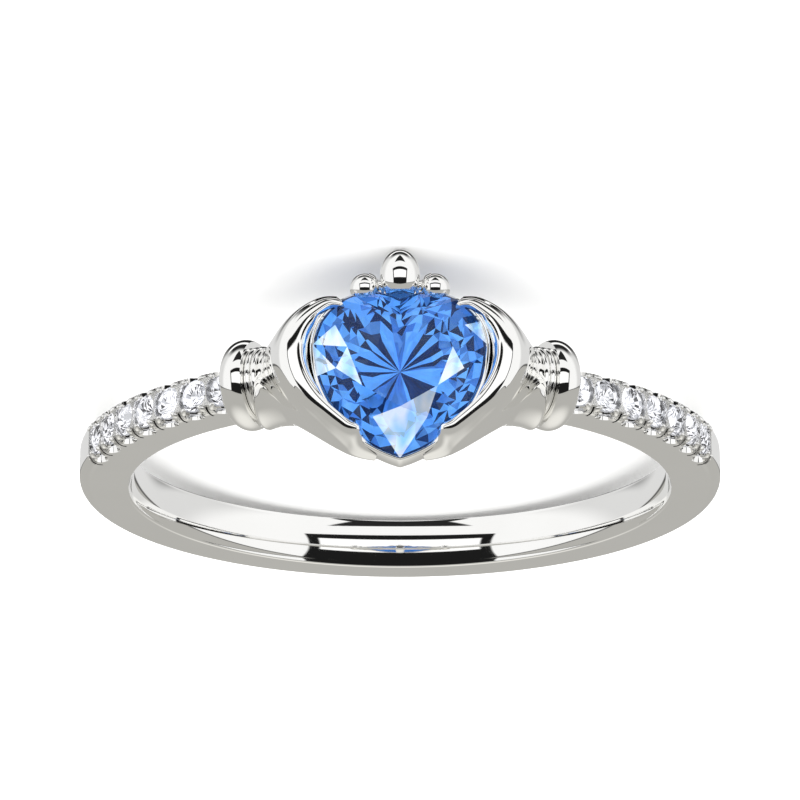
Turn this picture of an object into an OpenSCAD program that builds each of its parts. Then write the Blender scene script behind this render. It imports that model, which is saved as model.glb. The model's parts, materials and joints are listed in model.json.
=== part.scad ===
// Claddagh ring: two hands hold a heart-cut stone under a crown, on a band with stone-set shoulders.
// It lies on its side, on the crown's dome and the back of the band. Lengths are in millimetres.
// The ring is drawn upright, with the finger along Z, the head towards -Y and the crown up, then laid down.
// A head piece is drawn with x across the ring, y along the finger towards the crown, and z out of the finger.

/* [Band] */
// Diameter of the finger hole
bore_d = 17.3; // [15:0.1:21]
// Thickness of the band
band_t = 1.72; // [1.5:0.01:2]
// Width of the band at its back, along the finger
band_w = 1.75; // [1.6:0.05:2.2]
// Width of the band under the head
band_head_w = 1.3; // [1.2:0.05:1.6]
// Rounding of the band's inner edges
inner_round = 0.2; // [0.1:0.02:0.3]
// Rounding of the band's outer edges
outer_round = 0.35; // [0.2:0.05:0.5]

/* [Heart stone] */
// Width of the heart across its lobes
heart_w = 5.24; // [4.8:0.01:6]
// Length of the heart from its lobes to its tip
heart_l = 5.24; // [4.8:0.01:6]
// Height of the heart's table above its girdle
heart_crown_h = 0.75; // [0.5:0.05:1]
// Depth of the heart's pavilion below its girdle
heart_pavilion_h = 2.15; // [1.8:0.05:2.3]
// Height of the heart's girdle above the band
girdle_rise = 1.98; // [1.9:0.01:2.6]
// Thickness of the girdle of the heart
heart_girdle_t = 0.12; // [0.06:0.02:0.2]
// Gap between each stone and its seat
stone_gap = 0.03; // [0.02:0.01:0.05]

/* [Shoulder stones] */
// Number of small stones on each shoulder
stone_count = 7; // [7:1:7]
// Diameter of a small stone
stone_d = 1.05; // [0.9:0.01:1.2]
// Gap between neighbouring small stones
stone_space = 0.05; // [0.03:0.01:0.15]
// Diameter of the prongs beside the small stones
prong_d = 0.2; // [0.16:0.01:0.26]
// Width of the slit between the two prongs of a pair
prong_slit = 0.08; // [0.05:0.01:0.12]

/* [Cuffs] */
// Distance of a cuff from the middle of the head, across the ring
cuff_x = 4.62; // [4.5:0.02:4.8]
// Distance of a cuff from the middle of the band's width, towards the crown
cuff_y = 0.11; // [0:0.01:0.2]
// Diameter of the bead of a cuff
bead_d = 2.82; // [2.6:0.02:3]
// Thickness of the bead along the wrist
bead_t = 1.1; // [0.9:0.05:1.2]
// Distance from the bead's middle to its flat shoulder, where the ribs begin
bead_shoulder = 0.31; // [0.25:0.01:0.4]
// Thickness of each of the two thin ribs
rib_t = 0.2; // [0.16:0.01:0.24]
// Diameter of the wrist
wrist_d = 2.06; // [1.9:0.02:2.2]
// Angle at which a wrist leaves the band's cross line
wrist_turn = 24; // [20:1:28]

/* [Setting] */
// Thickness of the bezel rim beside the heart
bezel_t = 0.08; // [0.08:0.01:0.2]
// Height of the bezel rim above the girdle
bezel_rise = 0.04; // [0.02:0.01:0.15]
// Depth of the bezel below the girdle
bezel_drop = 0.7; // [0.4:0.02:0.9]
// Depth of the seat rail below the girdle
rail_drop = 1; // [0.6:0.05:1.2]
// Thickness of the keel under the stone
keel_t = 0.9; // [0.6:0.05:1.2]

/* [Crown] */
// Diameter of the crown's egg-shaped dome
dome_d = 1.2; // [1:0.01:1.3]
// Height of the dome, of which the lower part is cut off
dome_h = 1.6; // [1.3:0.01:1.8]
// Height of the dome above its foot
dome_cut = 1.36; // [1.2:0.01:1.5]
// Height of the dome's top above the heart's lobes
dome_rise = 1.28; // [0.9:0.01:1.5]
// Diameter of the crown's side balls
ball_d = 0.72; // [0.5:0.01:0.9]
// Distance of a side ball from the middle
ball_x = 1.15; // [1:0.01:1.4]

/* [Hidden] */
stone_names_r = [for (i = [1:stone_count]) str("pave_r", i)];
stone_names_l = [for (i = [1:stone_count]) str("pave_l", i)];

$fn = 48;
silver = [0.80, 0.80, 0.79];
heart_blue = [0.25, 0.52, 0.90];
clear_white = [0.93, 0.95, 0.97];

bore_r = bore_d / 2;
band_r = bore_r + band_t;
girdle_z = band_r + girdle_rise;

// Outline of the heart: a lobe arc and a side arc that meet at the widest place
lobe_r = heart_w / 3;
lobe_x = heart_w / 2 - lobe_r;
lobe_y = heart_w * 0.037;
tip_y = lobe_y + lobe_r - heart_l;
side_drop = lobe_y - tip_y;
side_r = (pow(heart_w / 2, 2) + pow(side_drop, 2)) / heart_w;
side_x = heart_w / 2 - side_r;
tip_angle = -asin(side_drop / side_r);
cleft_angle = acos(-lobe_x / lobe_r);

// Point of the heart's right half at an angle round its arcs, moved out by a margin
function heart_point(angle, out = 0) =
    angle >= 0
        ? [lobe_x + (lobe_r + out) * cos(angle), lobe_y + (lobe_r + out) * sin(angle)]
        : [side_x + (side_r + out) * cos(angle), lobe_y + (side_r + out) * sin(angle)];

function mirrored(points) = [for (i = [len(points) - 1:-1:0]) [-points[i].x, points[i].y]];

// Whole outline of the heart, counterclockwise from its tip, moved out by a margin
function heart_outline(out, steps = 10) =
    let (
        tip = -acos(-side_x / (side_r + out)),
        cleft = acos(-lobe_x / (lobe_r + out)),
        side = [for (i = [1:steps - 1]) heart_point(tip * (1 - i / steps), out)],
        lobe = [for (i = [0:steps - 1]) heart_point(cleft * i / steps, out)],
        right = concat(side, lobe)
    )
    concat([[0, heart_point(tip, out).y]], right, [[0, heart_point(cleft, out).y]], mirrored(right));

// A brilliant cut over a rim whose even points carry the main facets
module brilliant(rim, top_mid, low_mid, table_share, crown_h, girdle_t, pavilion_h) {
    n = len(rim);
    m = n / 2;
    main_cos = cos(180 / m);
    star_share = (1 + table_share) / 2;
    star_z = crown_h * (1 - star_share * main_cos) / (1 - table_share);
    low_share = 0.24;
    low_z = -girdle_t - pavilion_h * (1 - low_share * main_cos);
    function toward(mid, p, share) = [mid.x + share * (p.x - mid.x), mid.y + share * (p.y - mid.y)];
    function flat_at(p, z) = [p.x, p.y, z];
    points = concat(
        [for (k = [0:m - 1]) flat_at(toward(top_mid, rim[2 * k], table_share), crown_h)],
        [for (k = [0:m - 1]) flat_at(toward(top_mid, rim[2 * k + 1], star_share), star_z)],
        [for (p = rim) flat_at(p, 0)],
        [for (p = rim) flat_at(p, -girdle_t)],
        [for (k = [0:m - 1]) flat_at(toward(low_mid, rim[2 * k + 1], low_share), low_z)],
        [flat_at(low_mid, -girdle_t - pavilion_h)]
    );
    star = m;
    top = 2 * m;
    low = top + n;
    half = low + n;
    culet = half + m;
    faces = concat(
        [[for (k = [m - 1:-1:0]) k]],
        [for (k = [0:m - 1]) [k, (k + 1) % m, star + k]],
        [for (k = [0:m - 1]) [k, star + k, top + 2 * k]],
        [for (k = [0:m - 1]) [k, top + 2 * k, star + (k + m - 1) % m]],
        [for (k = [0:m - 1]) [star + k, top + 2 * k + 1, top + 2 * k]],
        [for (k = [0:m - 1]) [star + k, top + (2 * k + 2) % n, top + 2 * k + 1]],
        [for (i = [0:n - 1]) [top + i, top + (i + 1) % n, low + (i + 1) % n, low + i]],
        [for (k = [0:m - 1]) [half + k, low + 2 * k, low + 2 * k + 1]],
        [for (k = [0:m - 1]) [half + k, low + 2 * k + 1, low + (2 * k + 2) % n]],
        [for (k = [0:m - 1]) [culet, half + (k + m - 1) % m, low + 2 * k]],
        [for (k = [0:m - 1]) [culet, low + 2 * k, half + k]]
    );
    polyhedron(points, faces, convexity = 4);
}

// Angles of the heart's facet corners, from its tip to its cleft, as shares of the two arcs
side_shares = [1, 0.8, 0.6, 0.4, 0.2];
lobe_shares = [0, 0.18, 0.37, 0.55, 0.77];
heart_mid = [0, -heart_l * 0.05];
culet_mid = [0, lobe_y + heart_l * 0.02];
heart_table_share = 0.57;

function heart_rim(out) =
    let (
        side = [for (i = [1:4]) heart_point(tip_angle * side_shares[i], out)],
        lobe = [for (s = lobe_shares) heart_point(cleft_angle * s, out)],
        right = concat(side, lobe)
    )
    concat([[0, heart_outline(out)[0].y]], right, [[0, heart_point(cleft_angle, out).y]], mirrored(right));

// The heart stone with its girdle's top at z 0, grown by a margin for its seat
module heart_gem(out = 0) {
    brilliant(heart_rim(out), heart_mid, culet_mid, heart_table_share,
              heart_crown_h + out, heart_girdle_t + out, heart_pavilion_h + out);
}

// Places a head piece: out of the finger along -Y, its own z measured from the middle of the finger hole
module on_head(z = 0) {
    rotate([90, 0, 0]) translate([0, 0, z]) children();
}

// Turns a piece of the band from the middle of the head round to an angle, drawn as on_head draws
module round_band(angle, r = 0) {
    rotate([0, 0, angle]) on_head(r) children();
}

module both_sides() {
    children();
    mirror([1, 0, 0]) children();
}

// Lays the upright ring on its side with the crown down, so that dome and band touch the floor
dome_r = dome_d / 2;
dome_top = lobe_y + lobe_r + dome_rise;
dome_cap = dome_r * dome_d / dome_h;
dome_z = girdle_z + bezel_rise;
rest_run = dome_z + band_r - outer_round;
rest_drop = dome_top - dome_cap - (band_w / 2 - outer_round);
rest_tilt = atan(rest_drop / rest_run) + asin((dome_cap - outer_round) / norm([rest_run, rest_drop]));
module lay_down() {
    rotate([-rest_tilt, 0, 0]) rotate([0, 180, 0]) children();
}

corner_steps = 5;
function corner(cx, cy, r, from) =
    [for (i = [0:corner_steps]) [cx + r * cos(from + 90 * i / corner_steps), cy + r * sin(from + 90 * i / corner_steps)]];

module band_profile() {
    polygon(concat(
        corner(band_r - outer_round, band_w / 2 - outer_round, outer_round, 0),
        corner(bore_r + inner_round, band_w / 2 - inner_round, inner_round, 90),
        corner(bore_r + inner_round, inner_round - band_w / 2, inner_round, 180),
        corner(band_r - outer_round, outer_round - band_w / 2, outer_round, 270)
    ));
}

// The band, whose flanks draw in evenly from its back to the head
module band() {
    intersection() {
        rotate_extrude($fn = 96) band_profile();
        rotate([90, 0, 90]) linear_extrude(3 * band_r, center = true) polygon([
            [-band_r, -band_head_w / 2], [band_r, -band_w / 2], [band_r, band_w / 2], [-band_r, band_head_w / 2]
        ]);
    }
}

// Shoulder stones: the girdle lies a little below the band's outer surface
stone_r = stone_d / 2;
stone_crown_h = stone_d * 0.16;
stone_girdle_t = stone_d * 0.04;
stone_pavilion_h = stone_d * 0.43;
stone_seat_r = band_r - stone_crown_h;
stone_pitch = 2 * asin((stone_d + stone_space) / 2 / stone_seat_r);
wrist_dir = [-cos(wrist_turn), 0, sin(wrist_turn)];
cuff_z = sqrt(pow(band_r - band_t * 0.28, 2) - pow(cuff_x, 2));
first_stone = atan(cuff_x / cuff_z) + stone_pitch * 0.69;
function stone_angle(i) = first_stone + i * stone_pitch;
strip_from = first_stone - stone_pitch / 2;
strip_to = first_stone + (stone_count - 0.4) * stone_pitch;

module small_gem(out = 0) {
    rim = [for (i = [0:15]) (stone_r + out) * [cos(22.5 * i), sin(22.5 * i)]];
    brilliant(rim, [0, 0], [0, 0], 0.56, stone_crown_h + out, stone_girdle_t + out, stone_pavilion_h + out);
}

// What is cut from the band for one small stone: its seat and a scallop through each flank
scallop_r = stone_d * 0.36;
scallop_in = stone_d * 0.43;
scallop_rise = stone_d * 0.08;
module stone_cut() {
    small_gem(stone_gap);
    cylinder(r = stone_r + stone_gap, h = band_t);
    for (side = [-1, 1])
        translate([0, side * (scallop_in + band_w / 2), scallop_rise])
            rotate([90, 0, 0]) cylinder(r = scallop_r, h = band_w, center = true);
}

// Two prongs on each flank between neighbouring stones, and the slit that parts them
prong_y = stone_d * 0.46;
prong_step = (prong_d + prong_slit) / 2;
prong_foot = stone_d * 0.4;
prong_top = stone_crown_h * 0.55;
module prong_pair() {
    for (side = [-1, 1], step = [-1, 1])
        translate([step * prong_step, side * prong_y, -prong_foot]) {
            cylinder(d = prong_d, h = prong_foot + prong_top, $fn = 16);
            translate([0, 0, prong_foot + prong_top]) sphere(d = prong_d, $fn = 16);
        }
}
slit_depth = stone_d * 0.26;
module slit_cut() {
    for (side = [-1, 1])
        translate([-prong_slit / 2, side * (prong_y + band_w / 2) - band_w / 2, -slit_depth])
            cube([prong_slit, band_w, band_t]);
}

// One shoulder of the band: the strip is lowered below the girdles, then seats, scallops and slits are cut
strip_r = stone_seat_r - stone_d * 0.06;
module shoulder_cuts() {
    rotate([0, 0, strip_from - 90]) rotate_extrude(angle = strip_to - strip_from)
        translate([strip_r, -band_w]) square([band_t, 2 * band_w]);
    for (i = [0:stone_count - 1]) round_band(stone_angle(i), stone_seat_r) stone_cut();
}
module shoulder_prongs() {
    difference() {
        for (i = [1:stone_count]) round_band(stone_angle(i - 0.5), stone_seat_r) prong_pair();
        for (i = [0:stone_count - 1]) round_band(stone_angle(i), stone_seat_r) small_gem(stone_gap);
    }
}
module slit_cuts() {
    for (i = [1:stone_count]) round_band(stone_angle(i - 0.5), stone_seat_r) slit_cut();
}

// Axes across a wrist: towards the front of the hand and towards the crown
wrist_front = [sin(wrist_turn), 0, cos(wrist_turn)];
wrist_up = [0, 1, 0];
bead_r = bead_d / 2;
wrist_r = wrist_d / 2;
rib_at = [bead_shoulder + rib_t * 0.45, bead_shoulder + rib_t * 1.55];
wrist_at = rib_at[1] + rib_t * 0.45;
cuff_mid = [cuff_x, cuff_y, cuff_z];
function along_wrist(s) = cuff_mid + s * wrist_dir;

// A cuff: the flattened bead, cut flat towards the hand, and two ribs round a core, drawn along the wrist
module cuff() {
    tube_r = bead_t / 2;
    translate(cuff_mid) rotate([0, wrist_turn - 90, 0]) {
        difference() {
            union() {
                rotate_extrude() translate([bead_r - tube_r, 0]) circle(r = tube_r);
                translate([0, 0, -bead_t * 0.45]) cylinder(r = bead_r - tube_r, h = bead_t * 0.9);
            }
            translate([0, 0, bead_shoulder]) cylinder(r = bead_d, h = bead_t);
        }
        for (s = rib_at)
            translate([0, 0, s]) rotate_extrude() translate([wrist_r, 0]) circle(d = rib_t);
        cylinder(r = wrist_r * 0.95, h = wrist_at - rib_t * 0.3);
    }
}

// Rows of a hand, from its upper finger tip to its lower one.
// Columns: angle round the heart, then as shares of heart_w: bulge out, bulge height, crest out, crest height,
// heel out, heel height. Heights are above the heart's girdle.
hand_rows = [
    [ 57,  0.022,  0.000, -0.034,  0.036,  0.005, -0.092],
    [ 47,  0.064,  0.018,  0.018,  0.058,  0.005, -0.113],
    [ 34,  0.084,  0.030,  0.042,  0.076,  0.005, -0.155],
    [ 20,  0.117,  0.044,  0.073,  0.092, -0.003, -0.206],
    [  7,  0.148,  0.055,  0.094,  0.101, -0.014, -0.268],
    [ -5,  0.172,  0.058,  0.106,  0.103, -0.014, -0.289],
    [-15,  0.158,  0.052,  0.092,  0.098, -0.014, -0.268],
    [-25,  0.125,  0.030,  0.061,  0.090, -0.025, -0.227],
    [-34,  0.090,  0.005,  0.028,  0.084, -0.032, -0.191],
    [-42,  0.073, -0.015,  0.005,  0.080, -0.030, -0.170],
    [-49,  0.069, -0.030, -0.011,  0.074, -0.020, -0.155],
    [-54,  0.075, -0.062,  0.009,  0.016, -0.003, -0.149],
    [-63,  0.040, -0.072,  0.021, -0.031, -0.003, -0.139]
];
row_count = len(hand_rows);

function hand_point(row, out, height) =
    let (p = heart_point(row[0], out * heart_w)) [p.x, p.y, girdle_z + height * heart_w];

function wrist_ring(s, grow = 0) =
    [for (j = [0:2 * row_count - 1])
        let (turn = j < row_count ? 90 - 180 * j / (row_count - 1)
                                  : -90 - 180 * (j - row_count + 1) / (row_count + 1))
        along_wrist(s) + (wrist_r + grow) * (cos(turn) * wrist_front + sin(turn) * wrist_up)];

// Ring of a hand: its front points by one pair of columns and its back points by the heel's, eased in
function hand_ring(front, back) = concat(
    [for (row = hand_rows) front(row)],
    [for (j = [row_count - 1:-1:0]) back(hand_rows[j])]
);

function blend(a, b, t) = a + (b - a) * t;
function hermite(a, b, ta, tb, t) =
    (2 * pow(t, 3) - 3 * pow(t, 2) + 1) * a + (pow(t, 3) - 2 * pow(t, 2) + t) * ta
    + (3 * pow(t, 2) - 2 * pow(t, 3)) * b + (pow(t, 3) - pow(t, 2)) * tb;

heel = function (row) hand_point(row, row[5], row[6]);
bulge_ring = hand_ring(function (row) hand_point(row, row[1], row[2]), heel);
round_ring = hand_ring(
    function (row) hand_point(row, blend(row[1], row[3], 0.4), blend(row[2], row[4], 0.73)),
    function (row) hand_point(row, row[5] - 0.005, row[6] + 0.007));
crest_ring = hand_ring(
    function (row) hand_point(row, row[3], row[4]),
    function (row) hand_point(row, row[5] - 0.010, row[6] + 0.014));
lip_ring = hand_ring(
    function (row) hand_point(row, row[3] - 0.032, row[4] - 0.016),
    function (row) hand_point(row, row[5] - 0.015, row[6] + 0.021));
palm_ring = hand_ring(
    function (row) hand_point(row, min(row[3] - 0.038, 0.022), -0.055),
    function (row) hand_point(row, row[5] - 0.020, row[6] + 0.028));
wrist_start = wrist_ring(wrist_at - rib_t * 1.7, -wrist_r * 0.1);
wrist_rim = wrist_ring(wrist_at);

// The flare from the wrist: it leaves the wrist towards the hand, and its heel swells over the ribs
heel_swell = wrist_r * 0.38;
heel_over = rib_t * 1.4;
wrist_middle = along_wrist(wrist_at);
function unit(v) = v / norm(v);
function radial(j) = unit(wrist_rim[j] - wrist_middle);
function low(j) = max(-radial(j).y, 0);
function high(j) = max(radial(j).y, 0);
wrist_end = [for (j = [0:2 * row_count - 1])
    wrist_rim[j] + low(j) * (wrist_r * 0.12 * radial(j) - heel_over * wrist_dir)];
function leaving(j) = 0.9 * (1 - low(j)) * (bulge_ring[j] - wrist_end[j])
    + wrist_r * (low(j) * (1.55 * wrist_dir + 1.2 * wrist_up) - 0.6 * high(j) * radial(j));
function arriving(j) =
    j < row_count ? heart_w * 0.25 * unit(crest_ring[j] - bulge_ring[j]) : heart_w * 0.2 * wrist_dir;
function swelling(j, t) =
    heel_swell * sqrt(min(t / 0.07, 1)) * cos(90 * min(t / 0.35, 1)) * pow(low(j), 2) * radial(j);
flare_rings = [for (t = [0.03, 0.08, 0.16, 0.27, 0.42, 0.6, 0.8])
    [for (j = [0:2 * row_count - 1])
        hermite(wrist_end[j], bulge_ring[j], leaving(j), arriving(j), t) + swelling(j, t)]];
hand_rings = concat([wrist_start, wrist_end], flare_rings, [bulge_ring, round_ring, crest_ring, lip_ring, palm_ring]);

// A closed skin over rings of equal length; the last ring is closed across from its front to its back
module skin(rings) {
    n = len(rings[0]);
    last = (len(rings) - 1) * n;
    points = [for (ring = rings, p = ring) p];
    sides = [for (r = [0:len(rings) - 2], i = [0:n - 1])
        let (a = r * n + i, b = r * n + (i + 1) % n) each [[a, b, a + n], [b, b + n, a + n]]];
    start = [[for (i = [n - 1:-1:0]) i]];
    end = [for (i = [0:n / 2 - 2])
        let (a = last + i, b = last + n - 1 - i) each [[a, a + 1, b - 1], [a, b - 1, b]]];
    polyhedron(points, concat(sides, start, end), convexity = 6);
}

module hand() {
    skin(hand_rings);
}

// The bezel: a rim along the heart's sides that makes a V-shaped prong at its tip
rim_top = lobe_y + lobe_r * 0.62;
module bezel() {
    intersection() {
        translate([0, 0, -bezel_drop]) linear_extrude(bezel_drop + bezel_rise) polygon(heart_outline(bezel_t));
        translate([-heart_w, rim_top - 2 * heart_l, -heart_w / 2]) cube([2 * heart_w, 2 * heart_l, heart_w]);
    }
}

// The seat rail: a heart-shaped ledge under the girdle, drawn in from it
rail_in = heart_w * 0.03;
module seat_rail() {
    translate([0, 0, -rail_drop]) linear_extrude(rail_drop - heart_girdle_t) polygon(heart_outline(-rail_in));
}

// The keel: a plate under the stone from the tip's prong to the crown's post, joined to the band
keel_front = tip_y + rail_in * 2;
keel_back = lobe_y + lobe_r + rail_in;
module keel() {
    translate([-keel_t / 2, 0, 0]) rotate([90, 0, 90]) linear_extrude(keel_t)
        polygon([
            [keel_front, girdle_z - bezel_drop],
            [keel_front, girdle_z - rail_drop],
            [-band_head_w * 0.45, bore_r + band_t * 0.4],
            [band_head_w * 0.45, bore_r + band_t * 0.4],
            [keel_back, girdle_z - rail_drop],
            [keel_back, girdle_z - bezel_drop]
        ]);
}

// The crown: an egg-shaped dome over the cleft, and on each side a ball whose arm narrows towards a collar
ball_y = lobe_y + lobe_r + ball_d * 0.24;
ball_z = girdle_z - ball_d * 0.3;
arm_y = ball_y + ball_d * 0.1;
arm_r = ball_d * 0.15;
collar_t = ball_d * 0.1;
egg_steps = 12;
egg_end = acos((dome_h / 2 - dome_cut) / (dome_h / 2));
module dome() {
    translate([0, dome_top - dome_h / 2, dome_z]) rotate([-90, 0, 0]) rotate_extrude()
        polygon(concat(
            [[0, dome_h / 2]],
            [for (i = [egg_steps - 1:-1:0])
                let (a = 90 - egg_end * (egg_steps - i) / egg_steps) [dome_r * cos(a), dome_h / 2 * sin(a)]],
            [[0, dome_h / 2 - dome_cut]]
        ));
}
module crown_arm() {
    reach = ball_x + ball_d / 2;
    translate([0, arm_y, ball_z]) rotate([0, 90, 0]) rotate_extrude()
        polygon([
            [0, 0], [arm_r, 0], [arm_r, dome_r * 0.8], [arm_r * 1.8, dome_r * 0.8],
            [arm_r * 1.8, dome_r * 0.8 + collar_t], [arm_r, dome_r * 0.8 + collar_t],
            [ball_d * 0.36, ball_x - ball_d * 0.12], [0, ball_x]
        ]);
    translate([ball_x, ball_y, ball_z]) sphere(d = ball_d);
}
module crown() {
    dome();
    translate([0, arm_y, girdle_z - rail_drop]) cylinder(d = dome_d * 0.6, h = dome_z - girdle_z + rail_drop);
    both_sides() crown_arm();
}

// Both cuffs and hands, cut back from the stone by twice its gap and kept out of the finger hole
module hands_and_cuffs() {
    difference() {
        both_sides() {
            cuff();
            hand();
        }
        translate([0, 0, girdle_z]) heart_gem(2 * stone_gap);
        rotate([90, 0, 0]) cylinder(r = bore_r + band_t * 0.2, h = 6 * band_w, center = true);
    }
}

// Everything under and round the stone, with the stone's seat cut into it
module setting() {
    difference() {
        union() {
            translate([0, 0, girdle_z]) {
                bezel();
                seat_rail();
            }
            keel();
            crown();
        }
        translate([0, 0, girdle_z]) heart_gem(stone_gap);
    }
}

module carved_band() {
    difference() {
        band();
        both_sides() shoulder_cuts();
        both_sides() slit_cuts();
    }
    both_sides() shoulder_prongs();
}

// The band clear of the heart stone's point, and the cuffs clear of the first small stones
module ring_metal() {
    color(silver) lay_down() {
        difference() {
            carved_band();
            on_head(girdle_z) heart_gem(stone_gap);
        }
        difference() {
            on_head() hands_and_cuffs();
            for (side = [-1, 1]) round_band(side * stone_angle(0), stone_seat_r) small_gem(stone_gap);
        }
        on_head() setting();
    }
}

module heart_stone() {
    color(heart_blue) lay_down() on_head(girdle_z) heart_gem();
}

module pave_stone(i, side) {
    color(clear_white) lay_down() round_band(side * stone_angle(i), stone_seat_r) small_gem();
}

ring_metal();
heart_stone();
for (i = [0:stone_count - 1]) {
    pave_stone(i, 1);
    pave_stone(i, -1);
}
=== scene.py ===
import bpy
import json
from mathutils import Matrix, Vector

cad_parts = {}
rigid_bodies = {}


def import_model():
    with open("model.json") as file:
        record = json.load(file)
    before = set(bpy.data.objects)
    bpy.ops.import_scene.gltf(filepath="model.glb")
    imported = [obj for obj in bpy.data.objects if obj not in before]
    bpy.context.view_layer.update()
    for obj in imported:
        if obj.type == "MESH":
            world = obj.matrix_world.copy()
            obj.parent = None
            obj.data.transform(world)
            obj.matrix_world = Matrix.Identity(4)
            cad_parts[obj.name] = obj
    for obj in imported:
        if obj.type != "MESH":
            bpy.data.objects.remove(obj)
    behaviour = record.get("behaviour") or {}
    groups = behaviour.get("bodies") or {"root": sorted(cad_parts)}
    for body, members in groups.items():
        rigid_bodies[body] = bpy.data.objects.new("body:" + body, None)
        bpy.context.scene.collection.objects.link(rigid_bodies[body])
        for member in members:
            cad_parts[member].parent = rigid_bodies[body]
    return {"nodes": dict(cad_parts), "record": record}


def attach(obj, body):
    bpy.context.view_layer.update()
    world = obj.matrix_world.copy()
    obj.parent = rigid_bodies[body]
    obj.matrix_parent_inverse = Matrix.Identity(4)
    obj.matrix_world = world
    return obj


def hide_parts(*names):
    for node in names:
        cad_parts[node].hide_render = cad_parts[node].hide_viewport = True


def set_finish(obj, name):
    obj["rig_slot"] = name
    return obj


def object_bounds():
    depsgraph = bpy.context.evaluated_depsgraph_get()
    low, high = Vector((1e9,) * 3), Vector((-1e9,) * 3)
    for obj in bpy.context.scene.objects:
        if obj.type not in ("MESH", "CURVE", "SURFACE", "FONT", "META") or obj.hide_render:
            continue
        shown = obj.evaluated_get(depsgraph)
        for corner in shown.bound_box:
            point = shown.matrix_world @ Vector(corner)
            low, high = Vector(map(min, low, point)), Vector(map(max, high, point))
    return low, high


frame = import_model()
cad_box = [list(corner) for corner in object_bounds()]

import json
import math

import bmesh
import bpy
import numpy as np
from mathutils import Matrix, Vector

MM = 0.001
FULL_TURN = 2 * math.pi

# How the ring lies: the finger hole's axis leans by this angle from the vertical
axis = frame["record"]["mounts"][0]["axis"]
TILT = math.atan2(axis[1], axis[2])
COS_T, SIN_T = math.cos(TILT), math.sin(TILT)

# Band: narrower at the head than at the back, with rounded edges and a bore that is domed for comfort
BORE_R = 8.65
BAND_T = 1.72
BAND_R = BORE_R + BAND_T
HALF_BACK = 0.875
HALF_HEAD = 0.65
INNER_ROUND = 0.2
INNER_CROWN_R = 1.9
INNER_EDGE = 0.07
OUTER_ROUND = 0.35
EASE = 0.012
BAND_STEPS = 480
BORE_STEPS = 10

# Heart
HEART_W = 5.24
HEART_L = 5.24
GIRDLE_Z = BAND_R + 1.98
LOBE_R = HEART_W / 3
LOBE_X = HEART_W / 2 - LOBE_R
LOBE_Y = HEART_W * 0.037
LOBE_TOP = LOBE_Y + LOBE_R
TIP_Y = LOBE_TOP - HEART_L
SIDE_DROP = LOBE_Y - TIP_Y
SIDE_R = ((HEART_W / 2) ** 2 + SIDE_DROP ** 2) / HEART_W
SIDE_X = HEART_W / 2 - SIDE_R

# Setting: the bezel's section runs from its outer foot over the rim to its inner foot, as (out, height)
BEZEL_T = 0.08
BEZEL_RISE = 0.04
BEZEL_DROP = 0.7
BEZEL_TOP_Y = LOBE_Y + LOBE_R * 0.62
BEZEL_SECTION = [
    (BEZEL_T, -BEZEL_DROP),
    (BEZEL_T, 0.0),
    (BEZEL_T - 0.015, 0.03),
    (BEZEL_T - 0.045, BEZEL_RISE + 0.01),
    (0.0, BEZEL_RISE),
    (-0.02, BEZEL_RISE - 0.01),
    (0.012, 0.0),
    (0.012, -0.12),
    (-0.25, -BEZEL_DROP),
]
RAIL_DROP = 1.0
RAIL_IN = HEART_W * 0.03
KEEL_HALF = 0.45
KEEL_ROUND = 0.05

# Shoulder stones
STONE_COUNT = 7
STONE_D = 1.05
STONE_R = STONE_D / 2
STONE_GAP = 0.03
STONE_APART = 0.05
STONE_CROWN = STONE_D * 0.16
SEAT_R = BAND_R - STONE_CROWN
PITCH = 2 * math.asin((STONE_D + STONE_APART) / 2 / SEAT_R)
# The row of stones begins behind this point of the band, just outside the cuff
ROW_START_X = 4.4
ROW_START_Z = 8.856
FIRST_STONE = math.atan(ROW_START_X / ROW_START_Z) + PITCH * 0.92

# Cuts in the shoulders, from each stone's girdle: profiles as (radius, height), and lengths
STRIP_R = SEAT_R - STONE_D * 0.06
STRIP_HALF = 2.0
STRIP_H = 3
SEAT_RIM = STONE_R + STONE_GAP
SEAT_PROFILE = [(0, -0.52), (0.08, -0.5), (SEAT_RIM, -0.06), (SEAT_RIM, 1.0), (0, 1.0)]
SCOOP_PROFILE = [(0, 0.0), (0.36, 0.0), (0.42, 1.2), (0, 1.2)]
SCOOP_Y = 0.47
SCOOP_Z = 0.06
SLIT_HALF = 0.035
SLIT_Y = (0.48, 1.3)
SLIT_Z = (-0.28, 1.0)

# Prongs: a path from the root in the flank to the tip over the stone, and the radius along it
PRONG_PATH = [(0, 0, -0.42), (0, 0, -0.2), (0, 0, 0), (0.05, -0.02, 0.09), (0.1, -0.05, 0.13)]
PRONG_RADII = [0.09, 0.1, 0.1, 0.1, 0.085]
PRONG_X = 0.14
PRONG_Y = 0.5
LAST_PRONG_BEND = -0.3

# Cuffs: a flattened bead and two ribs round the wrist, which turns towards the heart
CUFF_X = 4.62
CUFF_Y = 0.11
CUFF_Z = math.sqrt((BAND_R - BAND_T * 0.28) ** 2 - CUFF_X ** 2)
CUFF = np.array([CUFF_X, CUFF_Y, CUFF_Z])
BEAD_R = 1.41
BEAD_TUBE = 0.55
BEAD_END = 0.98
BEAD_SHOULDER = 0.31
RIB_T = 0.2
RIB_R = 1.13
RIB_AT = [BEAD_SHOULDER + RIB_T * 0.5, BEAD_SHOULDER + RIB_T * 1.55]
WRIST_R = 1.03
WRIST_AT = RIB_AT[1] + RIB_T * 0.45
START_BACK = RIB_T * 1.7
START_IN = WRIST_R * 0.1
WRIST_TURN = math.radians(24)
WRIST_DIR = np.array([-math.cos(WRIST_TURN), 0, math.sin(WRIST_TURN)])
WRIST_FRONT = np.array([math.sin(WRIST_TURN), 0, math.cos(WRIST_TURN)])
WRIST_UP = np.array([0, 1, 0])

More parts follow.
